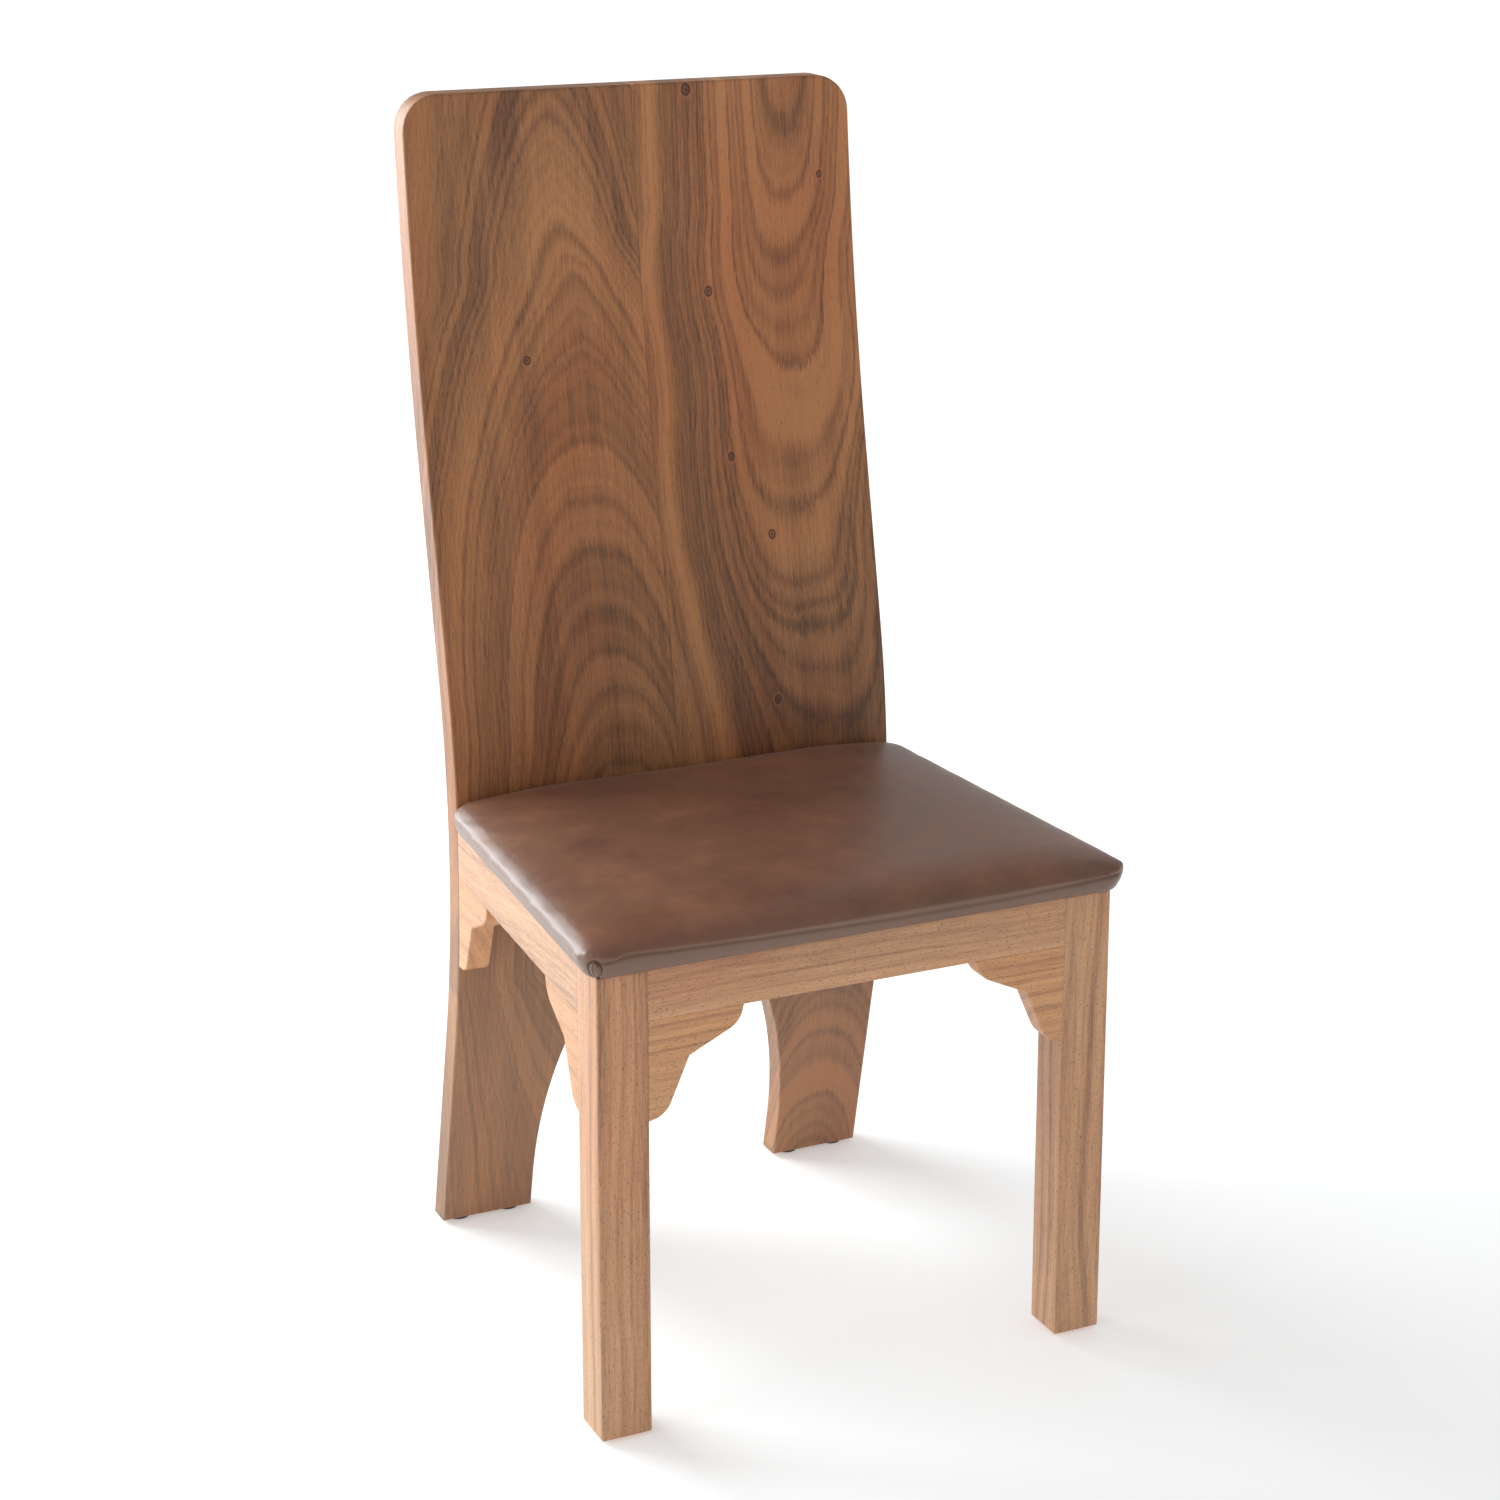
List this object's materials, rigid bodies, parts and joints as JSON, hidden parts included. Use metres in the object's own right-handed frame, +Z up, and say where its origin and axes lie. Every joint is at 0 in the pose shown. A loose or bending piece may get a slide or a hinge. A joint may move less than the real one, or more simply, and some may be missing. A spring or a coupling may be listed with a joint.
{
  "type": "dining chair",
  "caption": "High-backed solid-wood chair with a curved board back that reaches the floor, square front legs, scrolled brackets and a leather slip seat.",
  "frame": {"origin": "on the floor under the middle of the chair's box", "axes": "+Z up, the front faces -Y, +X to the sitter's left as they face forward"},
  "size_m": [0.4928, 0.5142, 1.076],
  "materials": {
    "back_wood_left": "oiled hardwood, satin, cathedral figure",
    "back_wood_right": "oiled hardwood, satin, cathedral figure",
    "leg_wood": "oiled hardwood, satin, straight grain",
    "rail_wood": "oiled hardwood, satin, figured grain",
    "bracket_wood": "oiled hardwood, satin, level grain",
    "block_wood": "raw secondary hardwood",
    "dowel_wood": "fluted beech dowel",
    "plywood": "birch plywood",
    "foam": "upholstery foam",
    "seat_leather": "dark brown leather, soft satin",
    "dust_cloth": "black non-woven cloth",
    "screw_steel": "zinc-plated steel",
    "staple_steel": "galvanised wire",
    "glide_plastic": "dark brown moulded plastic"
  },
  "bodies": {
    "root": {"back_board_left": "back_wood_left", "back_board_right": "back_wood_right", "back_joint_dowels": "dowel_wood", "front_leg_left": "leg_wood", "front_leg_right": "leg_wood", "front_rail": "rail_wood", "side_rail_left": "rail_wood", "side_rail_right": "rail_wood", "rear_rail": "rail_wood", "rear_rail_screws": "screw_steel", "front_rail_dowels": "dowel_wood", "side_rail_dowels": "dowel_wood", "front_bracket_left": "bracket_wood", "front_bracket_right": "bracket_wood", "side_front_bracket_left": "bracket_wood", "side_front_bracket_right": "bracket_wood", "side_rear_bracket_left": "bracket_wood", "side_rear_bracket_right": "bracket_wood", "bracket_dowels": "dowel_wood", "corner_block_front_left": "block_wood", "corner_block_front_right": "block_wood", "corner_block_rear_left": "block_wood", "corner_block_rear_right": "block_wood", "corner_block_screws": "screw_steel", "seat_screws": "screw_steel", "seat_board": "plywood", "seat_foam": "foam", "seat_cover": "seat_leather", "cover_staples": "staple_steel", "dust_cover": "dust_cloth", "dust_cover_staples": "staple_steel", "foot_glides": "glide_plastic"}
  },
  "joints": []
}
